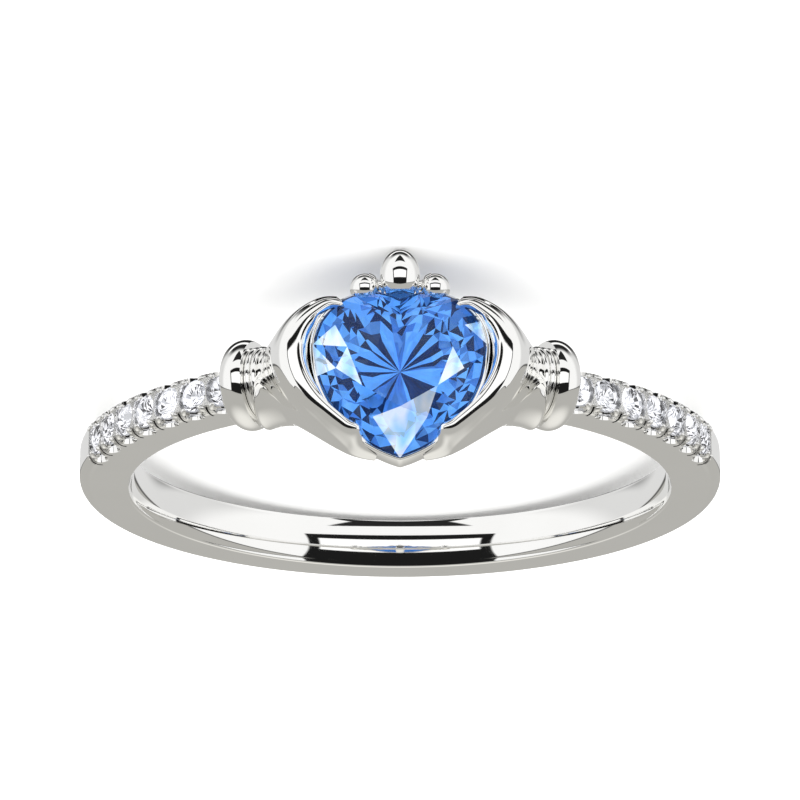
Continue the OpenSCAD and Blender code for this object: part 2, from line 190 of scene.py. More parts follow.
# Crown: an egg-shaped dome on a post, and an arm with a collar and a ball on each side
DOME_R = 0.6
DOME_H = 1.6
DOME_CUT = 1.36
DOME_TOP = LOBE_TOP + 1.28
DOME_Z = GIRDLE_Z + BEZEL_RISE
DOME_EDGE = 0.02
BALL_D = 0.9
BALL_X = 1.06
BALL_Y = LOBE_TOP + 0.16
BALL_Z = GIRDLE_Z - 0.22
POST_R = 0.36
POST_TOP = 0.1
ARM_R = BALL_D * 0.17
ARM_Y = BALL_Y + BALL_D * 0.1
COLLAR_R = ARM_R * 1.8
COLLAR_START = DOME_R * 0.8
COLLAR_END = COLLAR_START + BALL_D * 0.1
COLLAR_EDGE = 0.015
COLLAR_ROUND = 0.02


def to_row(points):
    """Points in millimetres in the head's frame, carried to the model's frame."""
    p = np.asarray(points, dtype=float)
    x, up, out = p[..., 0], p[..., 1], p[..., 2]
    return np.stack([-x, -out * COS_T - up * SIN_T, out * SIN_T - up * COS_T], -1) * MM


# Meshes

def add_object(name, data):
    obj = bpy.data.objects.new(name, data)
    bpy.context.scene.collection.objects.link(obj)
    return obj


def finish_shading(mesh, sharp, flat=False):
    """Smooth faces with sharp edges from an angle in degrees, or flat faces."""
    mesh.polygons.foreach_set("use_smooth", [not flat] * len(mesh.polygons))
    if not flat:
        mesh.set_sharp_from_angle(angle=math.radians(sharp))


def face_outwards(mesh, merge=False):
    """Turns every face outwards, after joining the corners that lie on each other if asked."""
    work = bmesh.new()
    work.from_mesh(mesh)
    if merge:
        bmesh.ops.remove_doubles(work, verts=work.verts, dist=1e-8)
    bmesh.ops.recalc_face_normals(work, faces=work.faces)
    work.to_mesh(mesh)
    work.free()


class Solid:
    """Collects points and faces of one piece."""

    def __init__(self):
        self.points = []
        self.faces = []

    def add(self, points, faces):
        base = len(self.points)
        self.points += [tuple(p) for p in points]
        self.faces += [tuple(base + i for i in f) for f in faces]
        return self

    def skin(self, rings, closed=False):
        """Joins closed rings of equal length; the first and the last are capped, or joined to each other."""
        rings = np.asarray(rings, dtype=float)
        count, n = rings.shape[:2]
        faces = []
        for r in range(count if closed else count - 1):
            a, b = r * n, (r + 1) % count * n
            for i in range(n):
                j = (i + 1) % n
                faces.append((a + i, a + j, b + j, b + i))
        if not closed:
            faces.append(tuple(range(n - 1, -1, -1)))
            faces.append(tuple(range((count - 1) * n, count * n)))
        return self.add(rings.reshape(-1, 3), faces)

    def join(self, other):
        return self.add(other.points, other.faces)

    def both_sides(self):
        """Adds the solid's own mirror image on the ring's other side."""
        twin = Solid()
        twin.add([(-x, y, z) for x, y, z in self.points], [tuple(reversed(f)) for f in self.faces])
        return self.join(twin)

    def mesh(self, name, material):
        mesh = bpy.data.meshes.new(name)
        mesh.from_pydata(to_row(self.points).tolist(), [], self.faces)
        mesh.update()
        mesh.materials.append(material)
        return mesh

    def make(self, name, material, slot, sharp=38, flat=False):
        """The piece itself, riding on the ring."""
        obj = add_object(name, self.mesh(name, material))
        finish_shading(obj.data, sharp, flat)
        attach(obj, "root")
        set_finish(obj, slot)
        return obj


def full_circle(steps):
    return np.linspace(0, FULL_TURN, steps, endpoint=False)


def rim_round(along, turn):
    """Unit vectors square to an axis, one for each angle."""
    side = np.cross(along, [0, 1, 0] if abs(along[1]) < 0.9 else [1, 0, 0])
    side /= np.linalg.norm(side)
    other = np.cross(along, side)
    return np.cos(turn)[:, None] * side + np.sin(turn)[:, None] * other


def lathe(profile, centre, along, steps):
    """Turns (radius, distance along) pairs round an axis; the profile starts and ends on the axis."""
    along = np.array(along, dtype=float) / np.linalg.norm(along)
    rim = rim_round(along, full_circle(steps))
    rings = [np.array(centre) + s * along + max(r, 1e-5) * rim for r, s in profile]
    return Solid().skin(rings)


def arc(cx, cy, r, start, end, steps):
    return [
        (cx + r * math.cos(math.radians(a)), cy + r * math.sin(math.radians(a)))
        for a in np.linspace(start, end, steps + 1)
    ]


def spline(points, per_span):
    """A smooth curve through points (count, ...), with some steps from each point to the next."""
    p = np.asarray(points, dtype=float)
    p = np.concatenate([[2 * p[0] - p[1]], p, [2 * p[-1] - p[-2]]])
    out = []
    for i in range(1, len(p) - 2):
        for t in np.arange(per_span) / per_span:
            a, b, c, d = p[i - 1], p[i], p[i + 1], p[i + 2]
            out.append(0.5 * (2 * b + (c - a) * t + (2 * a - 5 * b + 4 * c - d) * t ** 2
                              + (3 * b - a - 3 * c + d) * t ** 3))
    out.append(p[-2])
    return np.array(out)


def mix(a, b, t):
    return a + (b - a) * t


# Materials

def new_material(name, numbers):
    """A material with plain numbers on some of its shader's sockets."""
    mat = bpy.data.materials.new(name)
    mat.use_nodes = True
    nodes, links = mat.node_tree.nodes, mat.node_tree.links
    shader = nodes["Principled BSDF"]
    for socket, number in numbers.items():
        shader.inputs[socket].default_value = number
    return mat, nodes, links, shader


def noise(nodes, links, scale, detail, vector=None):
    node = nodes.new("ShaderNodeTexNoise")
    node.inputs["Scale"].default_value = scale
    node.inputs["Detail"].default_value = detail
    if vector is None:
        vector = nodes.new("ShaderNodeTexCoord").outputs["Object"]
    links.new(vector, node.inputs["Vector"])
    return node.outputs["Fac"]


def to_range(nodes, links, value, low, high):
    """Spreads the middle part of a noise over a range."""
    node = nodes.new("ShaderNodeMapRange")
    node.inputs["From Min"].default_value = 0.3
    node.inputs["From Max"].default_value = 0.7
    node.inputs["To Min"].default_value = low
    node.inputs["To Max"].default_value = high
    links.new(value, node.inputs["Value"])
    return node.outputs["Result"]


def ramp(nodes, links, value, low, high):
    """Colours a value between two stops, each a place and a colour."""
    node = nodes.new("ShaderNodeValToRGB")
    for element, (place, colour) in zip(node.color_ramp.elements, (low, high)):
        element.position = place
        element.color = (*colour, 1)
    links.new(value, node.inputs["Fac"])
    return node.outputs["Color"]


def polished_silver():
    """Bright silver with a faint cloud in its colour, fine polishing marks and a hardly uneven surface."""
    mat, nodes, links, shader = new_material("polished_silver", {"Metallic": 1.0})
    cloud = noise(nodes, links, 350.0, 3.0)
    links.new(ramp(nodes, links, cloud, (0.35, (0.955, 0.952, 0.94)), (0.65, (0.975, 0.972, 0.962))),
              shader.inputs["Base Color"])
    fine = noise(nodes, links, 2600.0, 4.0)
    links.new(to_range(nodes, links, fine, 0.02, 0.055), shader.inputs["Roughness"])
    bump = nodes.new("ShaderNodeBump")
    bump.inputs["Strength"].default_value = 0.02
    bump.inputs["Distance"].default_value = 0.00002
    links.new(noise(nodes, links, 900.0, 2.0), bump.inputs["Height"])
    links.new(bump.outputs["Normal"], shader.inputs["Normal"])
    return mat


def blue_shell():
    """The outer facets of the blue stone: clear and faintly blue."""
    mat, nodes, links, shader = new_material("blue_crown", {
        "IOR": 1.33, "Specular IOR Level": 0.25, "Transmission Weight": 1.0, "Roughness": 0.0})
    veil = noise(nodes, links, 500.0, 2.0)
    links.new(ramp(nodes, links, veil, (0.3, (0.90, 0.96, 1.0)), (0.7, (0.95, 0.98, 1.0))),
              shader.inputs["Base Color"])
    return mat


def painted_flash_glow():
    """Crown facets that reflect some of the studio's light and glow with a painted flash of light, with faint
    blue streaks.
    """
    mat, nodes, links, shader = new_material("painted_flash_glow", {
        "IOR": 1.45, "Transmission Weight": 1.0, "Metallic": 0.4, "Roughness": 0.0,
        "Emission Strength": 0.52})
    streak = nodes.new("ShaderNodeMapping")
    streak.inputs["Scale"].default_value = (1.0, 1.0, 0.25)
    links.new(nodes.new("ShaderNodeTexCoord").outputs["Object"], streak.inputs["Vector"])
    veil = noise(nodes, links, 2000.0, 1.0, streak.outputs["Vector"])
    colour = ramp(nodes, links, veil, (0.35, (0.40, 0.68, 0.93)), (0.6, (0.93, 0.98, 1.0)))
    links.new(colour, shader.inputs["Base Color"])
    links.new(colour, shader.inputs["Emission Color"])
    return mat


def painted_light_facet(name, low, high, glow):
    """A facet inside a stone: its tint drifts between two colours, and a painted glow stands in for the light
    it gathers.
    """
    mat, nodes, links, shader = new_material(name, {"Metallic": 0.35, "Emission Strength": glow})
    cloud = noise(nodes, links, 700.0, 1.0)
    colour = ramp(nodes, links, cloud, (0.35, low), (0.65, high))
    links.new(colour, shader.inputs["Base Color"])
    links.new(colour, shader.inputs["Emission Color"])
    links.new(to_range(nodes, links, cloud, 0.08, 0.16), shader.inputs["Roughness"])
    return mat


def clear_stone():
    mat, nodes, links, shader = new_material("clear_shoulder_stone", {
        "IOR": 1.7, "Transmission Weight": 1.0, "Roughness": 0.0})
    veil = noise(nodes, links, 900.0, 2.0)
    links.new(ramp(nodes, links, veil, (0.3, (0.97, 0.97, 1.0)), (0.7, (1.0, 1.0, 1.0))),
              shader.inputs["Base Color"])
    return mat


SILVER = polished_silver()
SHELL = blue_shell()
PAINTED_FLASH = painted_flash_glow()
# Lit and shaded copies of the deep facets: painted light, painted half shade and painted shade, each with a
# painted glow
PAINTED_BLUE_FACETS = [
    painted_light_facet("blue_painted_light", (0.12, 0.40, 0.95), (0.16, 0.47, 1.0), 0.52),
    painted_light_facet("blue_painted_half_shade", (0.08, 0.28, 0.76), (0.11, 0.34, 0.86), 0.25),
    painted_light_facet("blue_painted_shade", (0.010, 0.04, 0.13), (0.02, 0.065, 0.20), 0.1),
]
# The same painted light, painted half shade and painted shade for the clear stones' facets
PAINTED_CLEAR_FACETS = [
    painted_light_facet("clear_painted_light", (0.93, 0.94, 0.97), (0.98, 0.98, 1.0), 0.7),
    painted_light_facet("clear_painted_half_shade", (0.50, 0.51, 0.54), (0.62, 0.63, 0.66), 0.5),
    painted_light_facet("clear_painted_shade", (0.03, 0.03, 0.035), (0.08, 0.08, 0.09), 0.2),
]
CLEAR = clear_stone()


# Band

def on_ring(angle, r, up):
    """A point at an angle round the band from the middle of the head."""
    return np.array([r * math.sin(angle), up, r * math.cos(angle)])


def place_on_ring(points, angle, r):
    """Points drawn with z out of the band, turned round to an angle."""
    p = np.asarray(points, dtype=float)
    x, up, out = p[:, 0], p[:, 1], p[:, 2] + r
    return np.stack([x * math.cos(angle) + out * math.sin(angle), up,
                     out * math.cos(angle) - x * math.sin(angle)], 1)


def half_width(angle, r):
    """Half the band's width: its flanks are planes that draw in towards the head."""
    return HALF_HEAD + (HALF_BACK - HALF_HEAD) * (BAND_R - r * math.cos(angle)) / (2 * BAND_R)


def band_section(angle):
    """The section as (radius, height), from the outer face over one flank to the bore and back."""
    outer = half_width(angle, BAND_R - OUTER_ROUND)
    inner = half_width(angle, BORE_R + INNER_ROUND)
    rounding = arc(BAND_R - OUTER_ROUND, outer - OUTER_ROUND, OUTER_ROUND, 0, 90, 12)
    flank_r = BAND_R - OUTER_ROUND - EASE
    heights = [(inner - INNER_EDGE) * k / BORE_STEPS for k in range(BORE_STEPS, 0, -1)]
    bore = [(BORE_R + INNER_CROWN_R - math.sqrt(INNER_CROWN_R ** 2 - h * h), h) for h in heights]
    rim_r = bore[0][0]
    foot_r = rim_r + INNER_EDGE * 1.2
    turns = [math.radians(a) for a in range(0, 90, 15)]
    edge = [(foot_r - (foot_r - rim_r) * math.sin(a), inner - INNER_EDGE * (1 - math.cos(a))) for a in turns]
    half = [(BAND_R, outer - OUTER_ROUND - EASE), *rounding, (flank_r, half_width(angle, flank_r)),
            (foot_r + EASE, inner), *edge, *bore]
    return half + [(BORE_R, 0.0)] + [(r, -h) for r, h in reversed(half)]


def band_solid():
    rings = [[on_ring(angle, r, h) for r, h in band_section(angle)] for angle in full_circle(BAND_STEPS)]
    return Solid().skin(rings, closed=True)


def stone_angle(i):
    return FIRST_STONE + i * PITCH


def box_solid(xs, ys, zs):
    """A box between two values on each axis."""
    (x0, x1), (y0, y1), (z0, z1) = xs, ys, zs
    points = [(x0, y0, z0), (x1, y0, z0), (x1, y1, z0), (x0, y1, z0),
              (x0, y0, z1), (x1, y0, z1), (x1, y1, z1), (x0, y1, z1)]
    faces = [(3, 2, 1, 0), (4, 5, 6, 7), (0, 1, 5, 4), (1, 2, 6, 5), (2, 3, 7, 6), (3, 0, 4, 7)]
    return Solid().add(points, faces)


def shoulder_cutters():
    """What the shoulders lose: the lowered strip, the seats, the scallops and the slits between prongs."""
    top = STRIP_R + STRIP_H
    corners = ((STRIP_R, -STRIP_HALF), (top, -STRIP_HALF), (top, STRIP_HALF), (STRIP_R, STRIP_HALF))
    angles = np.linspace(stone_angle(-0.5), stone_angle(STONE_COUNT - 0.4), 60)
    strip = Solid().skin([[on_ring(a, r, h) for r, h in corners] for a in angles])
    even_seats, odd_seats, scallops, slits = Solid(), Solid(), Solid(), Solid()
    seat = lathe(SEAT_PROFILE, (0, 0, 0), (0, 0, 1), steps=48)
    for i in range(STONE_COUNT):
        seats = odd_seats if i % 2 else even_seats
        seats.add(place_on_ring(seat.points, stone_angle(i), SEAT_R), seat.faces)
        for side in (-1, 1):
            scoop = lathe(SCOOP_PROFILE, (0, side * SCOOP_Y, SCOOP_Z), (0, side, 0), steps=40)
            scallops.add(place_on_ring(scoop.points, stone_angle(i), SEAT_R), scoop.faces)
            slit = box_solid((-SLIT_HALF, SLIT_HALF), sorted(side * y for y in SLIT_Y), SLIT_Z)
            slits.add(place_on_ring(slit.points, stone_angle(i + 0.5), SEAT_R), slit.faces)
    return [cut.both_sides() for cut in (strip, even_seats, odd_seats, scallops, slits)]


def cut_away(obj, cutters):
    """Subtracts closed solids from a piece and keeps the result as its mesh."""
    for solid in cutters:
        cutter = add_object("cutter", solid.mesh("cutter", SILVER))
        cut = obj.modifiers.new("cut", "BOOLEAN")
        cut.operation = "DIFFERENCE"
        cut.solver = "MANIFOLD"
        cut.object = cutter
        depsgraph = bpy.context.evaluated_depsgraph_get()
        result = bpy.data.meshes.new_from_object(obj.evaluated_get(depsgraph))
        obj.modifiers.remove(cut)
        obj.data = result
        bpy.data.objects.remove(cutter)
    finish_shading(obj.data, 30)


band = band_solid().make("band", SILVER, "silver")
cut_away(band, shoulder_cutters())


def prong(bend):
    """A prong that stands on the flank and bends over a stone's girdle; its root is at the origin."""
    centre = spline(np.array(PRONG_PATH) * (bend, 1, 1), 4)
    radius = spline(np.array(PRONG_RADII)[:, None], 4)[:, 0]
    turn = full_circle(16)
    rings = []
    for k, c in enumerate(centre):
        ahead = centre[min(k + 1, len(centre) - 1)] - centre[max(k - 1, 0)]
        ahead /= np.linalg.norm(ahead)
        rim = rim_round(ahead, turn)
        rings.append(c + radius[k] * rim)
    for a in np.radians([25, 50, 72, 88]):
        rings.append(centre[-1] + ahead * radius[-1] * math.sin(a) + radius[-1] * math.cos(a) * rim)
    return Solid().skin(rings)


def prongs():
    """Four small prongs at each slit, two on each edge of the band; the very last lean back a little."""
    out = Solid()
    for i in range(1, STONE_COUNT + 1):
        for side in (-1, 1):
            for step in (-1, 1):
                is_last = i == STONE_COUNT and step == 1
                one = prong(LAST_PRONG_BEND if is_last else step)
                points = [(x + step * PRONG_X, side * (y + PRONG_Y), z) for x, y, z in one.points]
                faces = one.faces if side == 1 else [tuple(reversed(f)) for f in one.faces]
                out.add(place_on_ring(points, stone_angle(i - 0.5), SEAT_R), faces)
    return out.both_sides()


prongs().make("shoulder_prongs", SILVER, "silver", sharp=60)


# Cuffs

def cuffs():
    low = math.degrees(math.asin(-BEAD_END))
    high = math.degrees(math.asin(BEAD_SHOULDER / BEAD_TUBE))
    bead = arc(BEAD_R - BEAD_TUBE, 0, BEAD_TUBE, low, high, 48)
    rib_core = RIB_R - RIB_T / 2
    ribs = [point for at in RIB_AT for point in arc(rib_core, at, RIB_T / 2, -90, 90, 16)]
    inner_face = [(WRIST_R * 0.97, WRIST_AT), (0, WRIST_AT)]
    profile = [(0, bead[0][1]), *bead, (rib_core, BEAD_SHOULDER), *ribs, *inner_face]
    return lathe(profile, CUFF, WRIST_DIR, steps=160).both_sides()


cuffs().make("cuffs", SILVER, "silver")


# Hands

def heart_point(angle, out=0.0):
    """A point on the heart's right half, moved out: the lobe from 0 degrees up, the long side below."""
    a = math.radians(angle)
    if angle >= 0:
        return (LOBE_X + (LOBE_R + out) * math.cos(a), LOBE_Y + (LOBE_R + out) * math.sin(a))
    return (SIDE_X + (SIDE_R + out) * math.cos(a), LOBE_Y + (SIDE_R + out) * math.sin(a))


# Rows of a hand from its upper finger tip to its lower one: angle round the heart, then shares of HEART_W:
# bulge out and height, crest out and height, heel out and height
HAND_ROWS = np.array([
    [57, 0.022, 0.000, -0.034, 0.036, 0.005, -0.092],
    [47, 0.064, 0.018, 0.018, 0.058, 0.005, -0.113],
    [34, 0.090, 0.052, 0.042, 0.076, 0.005, -0.155],
    [20, 0.125, 0.072, 0.071, 0.092, -0.003, -0.206],
    [7, 0.152, 0.082, 0.092, 0.101, -0.014, -0.268],
    [-5, 0.170, 0.084, 0.104, 0.103, -0.014, -0.289],
    [-15, 0.156, 0.078, 0.092, 0.098, -0.014, -0.268],
    [-25, 0.125, 0.056, 0.061, 0.088, -0.025, -0.227],
    [-34, 0.090, 0.030, 0.028, 0.080, -0.032, -0.191],
    [-42, 0.073, 0.008, 0.005, 0.074, -0.030, -0.170],
    [-49, 0.069, -0.030, -0.011, 0.074, -0.020, -0.155],
    [-54, 0.075, -0.062, 0.009, 0.016, -0.003, -0.149],
    [-63, 0.040, -0.072, 0.021, -0.031, -0.003, -0.139],
])
ROWS = spline(HAND_ROWS, 6)
ROW_COUNT = len(ROWS)
LIP_STEPS = 6
TIP_STEPS = 6
RING_COUNT = 2 * ROW_COUNT + 2 * TIP_STEPS
# The rings from the bulge over the crest and down on the inner side: how far the heel draws in and rises
# at each, in shares of HEART_W, and how far the finger tips swell, in millimetres
LIP_HEELS = [(0.0, 0.0), (0.005, 0.007), (0.010, 0.014), (0.013, 0.018), (0.016, 0.022), (0.020, 0.028)]
LIP_TIPS = [0.0, 0.02, 0.06, 0.06, 0.05, 0.02]
BULGE, CREST = 0, 2
# The flare runs from the wrist to the bulge. At the wrist it heads for the bulge, but below it follows the
# palm, and above it is pulled towards the wrist's middle. It arrives heading for the crest, and at the back
# along the wrist. The strengths are shares of the way to the bulge, of WRIST_R and, on arrival, of HEART_W
FLARE_STEPS = 36
FLARE_CROWDING = 1.25
FLARE_LEAVES = 0.9
PALM_ALONG = 1.55
PALM_UP = 1.2
TOP_PULL = 0.6
FRONT_ARRIVES = 0.25
BACK_ARRIVES = 0.2
# The heel of the hand stands out under the wrist by a share of WRIST_R, reaches back over the ribs by a share
# of RIB_T, and swells over the first part of the flare
HEEL_OUT = 0.12
HEEL_BACK = 1.4
HEEL_SWELL = WRIST_R * 0.38
HEEL_FULL_AT = 0.07
HEEL_GONE_AT = 0.35


def hand_point(row, out, height):
    x, y = heart_point(row[0], out * HEART_W)
    return np.array([x, y, GIRDLE_Z + height * HEART_W])


def lip_point(row, k):
    """The front point of a row on the lip's ring k."""
    bulge_out, bulge_up, crest_out, crest_up = row[1:5]
    places = [
        (bulge_out, bulge_up),
        (mix(bulge_out, crest_out, 0.45), mix(bulge_up, crest_up, 0.70)),
        (crest_out, crest_up),
        (crest_out - 0.028, crest_up - 0.005),
        (max(crest_out - 0.056, min(0.014, crest_out - 0.034)), crest_up - 0.024),
        (min(crest_out - 0.038, 0.010), -0.055),
    ]
    return hand_point(row, *places[k])


def with_tips(front, back, swell):
    """Joins a front and a back row into one ring whose two ends swell into finger tips."""
    t = np.linspace(0, 1, TIP_STEPS + 2)[1:-1, None]
    low_push = front[-1] - front[-3]
    low_push /= np.linalg.norm(low_push) + 1e-9
    top_push = front[0] - front[2]
    top_push /= np.linalg.norm(top_push) + 1e-9
    low = front[-1] * (1 - t) + back[0] * t + swell * np.sin(math.pi * t) * low_push
    top = back[-1] * (1 - t) + front[0] * t + swell * np.sin(math.pi * t) * top_push
    return np.concatenate([front, low, back, top])


def lip_ring(k):
    draw_in, rise = LIP_HEELS[k]
    front = np.array([lip_point(row, k) for row in ROWS])
    back = np.array([hand_point(row, row[5] - draw_in, row[6] + rise) for row in ROWS[::-1]])
    return with_tips(front, back, LIP_TIPS[k])


def wrist_ring(s, radius):
    """A ring round the wrist, from the top over the front to the bottom and back behind."""
    front = [90 - 180 * j / (ROW_COUNT - 1) for j in range(ROW_COUNT)]
    behind = RING_COUNT - ROW_COUNT
    back = [-90 - 180 * (j + 1) / (behind + 1) for j in range(behind)]
    turn = np.radians(front + back)[:, None]
    return CUFF + s * WRIST_DIR + radius * (np.cos(turn) * WRIST_FRONT + np.sin(turn) * WRIST_UP)


def flare(bulge, crest):
    """Rings from the wrist's end that widen and arrive at the bulge in the direction of the crest."""
    rim = wrist_ring(WRIST_AT, WRIST_R)
    radial = (rim - (CUFF + WRIST_AT * WRIST_DIR)) / WRIST_R
    up = (radial @ WRIST_UP)[:, None]
    low, high = np.clip(-up, 0, 1), np.clip(up, 0, 1)
    end = rim + low * (WRIST_R * HEEL_OUT * radial - RIB_T * HEEL_BACK * WRIST_DIR)
    palm = PALM_ALONG * WRIST_DIR + PALM_UP * WRIST_UP
    leave = (1 - low) * FLARE_LEAVES * (bulge - end) + low * WRIST_R * palm
    leave -= TOP_PULL * high * WRIST_R * radial
    toward = crest - bulge
    toward /= np.linalg.norm(toward, axis=1)[:, None]
    is_front = (np.arange(RING_COUNT) < ROW_COUNT)[:, None]
    arrive = np.where(is_front, HEART_W * FRONT_ARRIVES * toward, HEART_W * BACK_ARRIVES * WRIST_DIR)
    rings = [end]
    for t in np.linspace(0, 1, FLARE_STEPS)[1:-1] ** FLARE_CROWDING:
        swell = HEEL_SWELL * math.sqrt(min(t / HEEL_FULL_AT, 1))
        swell *= math.cos(math.pi / 2 * min(t / HEEL_GONE_AT, 1))
        rings.append((2 * t ** 3 - 3 * t ** 2 + 1) * end + (t ** 3 - 2 * t ** 2 + t) * leave
                     + (3 * t ** 2 - 2 * t ** 3) * bulge + (t ** 3 - t ** 2) * arrive
                     + swell * low ** 2 * radial)
    return rings


def hands():
    """Each hand starts inside its cuff, flares to the bulge and turns over the crest beside the stone."""
    start = wrist_ring(WRIST_AT - START_BACK, WRIST_R - START_IN)
    lips = [lip_ring(k) for k in range(len(LIP_TIPS))]
    rings = [start, *flare(lips[BULGE], lips[CREST]), *spline(lips, LIP_STEPS)]
    out = Solid().skin(rings)
    # The last ring is a crescent, so a strip between its front and its back closes the palm
    out.faces.pop()
    first = (len(rings) - 1) * RING_COUNT
    back_end = first + RING_COUNT - TIP_STEPS - 1
    out.faces += [(first + i, first + i + 1, back_end - i - 1, back_end - i) for i in range(ROW_COUNT - 1)]
    out.faces.append(tuple(range(first + ROW_COUNT - 1, first + ROW_COUNT + TIP_STEPS + 1)))
    out.faces.append((*range(back_end, first + RING_COUNT), first))
    return out.both_sides()


hands().make("hands", SILVER, "silver", sharp=50)


# Setting

def tip_angle(out):
    """The angle at which the heart's long side, moved out, meets the middle line at the tip."""
    return -math.degrees(math.acos(-SIDE_X / (SIDE_R + out)))


def cleft_angle(out):
    """The angle at which the lobe, moved out, meets the middle line in the cleft."""
    return math.degrees(math.acos(-LOBE_X / (LOBE_R + out)))


def heart_curve(out, steps):
    """The heart's right half from its tip up to its cleft, moved out."""
    side = np.linspace(tip_angle(out), 0, steps, endpoint=False)
    lobe = np.linspace(0, cleft_angle(out), steps + 1)
    return [heart_point(a, out) for a in [*side, *lobe]]


def bezel():
    """The rim along the heart's sides, swept from the left lobe round the tip to the right one."""
    end_angle = math.degrees(math.asin((BEZEL_TOP_Y - LOBE_Y) / LOBE_R))
    curves = []
    for out, z in BEZEL_SECTION:
        angles = [*np.linspace(tip_angle(out), 0, 48, endpoint=False), *np.linspace(0, end_angle, 24)]
        right = [(*heart_point(a, out), GIRDLE_Z + z) for a in angles]
        left = [(-x, y, h) for x, y, h in reversed(right[1:])]
        curves.append(left + right)
    return Solid().skin(np.array(curves).transpose(1, 0, 2))


bezel().make("bezel", SILVER, "silver", sharp=40)


def plate(outline, low, high, rounding):
    """An outline in x and y with rounded rims, between two heights."""
    outline = np.asarray(outline, dtype=float)
    outwards = outline - np.mean(outline, 0)
    outwards /= np.linalg.norm(outwards, axis=1)[:, None]
    part = rounding * 0.3
    levels = [(rounding, low), (part, low + part), (0, low + rounding),
              (0, high - rounding), (part, high - part), (rounding, high)]
    rings = []
    for inset, z in levels:
        rings.append([(x, y, z) for x, y in outline - outwards * inset])
    return Solid().skin(rings)


def keel():
    """The bar under the stone, which joins the setting to the band; drawn on its side, then set upright."""
    front = TIP_Y + RAIL_IN * 2
    back = LOBE_TOP + RAIL_IN
    foot = HALF_HEAD * 0.9
    foot_z = BORE_R + BAND_T * 0.4
    outline = [
        (front, GIRDLE_Z - BEZEL_DROP), (front, GIRDLE_Z - RAIL_DROP),
        (-foot, foot_z), (foot, foot_z),
        (back, GIRDLE_Z - RAIL_DROP), (back, GIRDLE_Z - BEZEL_DROP)]
    flat = plate(outline, -KEEL_HALF, KEEL_HALF, KEEL_ROUND)
    return Solid().add([(z, x, y) for x, y, z in flat.points], flat.faces)


under = keel().make("keel", SILVER, "silver", sharp=30)


# Crown

def crown():
    half = DOME_H / 2
    end = math.acos((half - DOME_CUT) / half)
    dome = [(DOME_R * math.sin(math.radians(a)), half * math.cos(math.radians(a)))
            for a in np.linspace(0, math.degrees(end), 60)]
    foot_r, foot_h = dome[-1]
    dome += [(foot_r - 0.015, foot_h - 0.012), (foot_r - 0.05, foot_h - DOME_EDGE),
             (foot_r * 0.5, foot_h - DOME_EDGE), (0, foot_h - DOME_EDGE)]
    out = lathe(dome, (0, DOME_TOP - half, DOME_Z), (0, 1, 0), steps=128)
    post = [(0, -RAIL_DROP), (POST_R, -RAIL_DROP), (POST_R, POST_TOP), (0, POST_TOP)]
    out.join(lathe(post, (0, ARM_Y, GIRDLE_Z), (0, 0, 1), steps=64))
    neck = spline([
        (ARM_R, COLLAR_END), (ARM_R * 1.15, COLLAR_END + 0.1),
        (BALL_D * 0.33, BALL_X - BALL_D * 0.34), (BALL_D * 0.43, BALL_X - BALL_D * 0.15)], 5)
    arm = [
        (0, 0), (ARM_R, 0), (ARM_R, COLLAR_START),
        (COLLAR_R - COLLAR_EDGE, COLLAR_START), (COLLAR_R, COLLAR_START + COLLAR_ROUND),
        (COLLAR_R, COLLAR_END - COLLAR_ROUND), (COLLAR_R - COLLAR_EDGE, COLLAR_END),
        *neck, (0, BALL_X)]
    sides = lathe(arm, (0, ARM_Y, BALL_Z), (1, 0, 0), steps=64)
    ball_r = BALL_D / 2
    ball = [(ball_r * math.sin(a), -ball_r * math.cos(a)) for a in np.linspace(0, math.pi, 48)]
    sides.join(lathe(ball, (BALL_X, BALL_Y, BALL_Z), (1, 0, 0), steps=96))
    return out.join(sides.both_sides())


crown().make("crown", SILVER, "silver", sharp=35)


# Heart stone

CROWN_H = 0.75
GIRDLE_T = 0.12
PAVILION_H = 2.15
CULET_Y = -0.2
GIRDLE_LOW = GIRDLE_Z - GIRDLE_T
# Corners of the crown's facets on the right half, from the tip to the cleft: those of the table and of the
# star facets as shares of HEART_W, and those on the rim as angles round the heart
TABLE = [(0, -0.365), (0.215, -0.24), (0.3, -0.01), (0.25, 0.145), (0.13, 0.212), (0, 0.18)]
STARS = [(0.155, -0.41), (0.365, -0.12), (0.37, 0.14), (0.26, 0.27), (0.115, 0.297)]
STAR_H = [0.46, 0.46, 0.44, 0.44, 0.46]
RIM_ANGLES = [tip_angle(0.0), -58, -41, -15, 2, 27, 44, 58, 72, 98, cleft_angle(0.0)]
RIM_FACETS = len(RIM_ANGLES) - 1
# Facets of the crown that glow with a painted flash of light: their kind, number from the tip and side
PAINTED_FLASH_FACETS = [("star", 0, 1), ("star", 1, 1), ("star", 1, -1), ("kite", 0, 1), ("kite", 0, -1), ("kite", 2, -1),
           ("upper", 3, -1), ("upper", 4, 1)]
# Painted shades of the deep facets round the culet, from the tip's side up to the cleft: 0 painted light, 1
# painted half shade, 2 painted shade
CORE_PAINTED_SHADES = [1, 1, 0, 2, 1, 2, 2, 0, 0, 0, 2, 0, 1, 2, 0, 2, 2, 0, 2, 2, 0, 0, 0, 1]
PAINTED_HALF_SHADE, PAINTED_DARK_SHADE = 1, 2
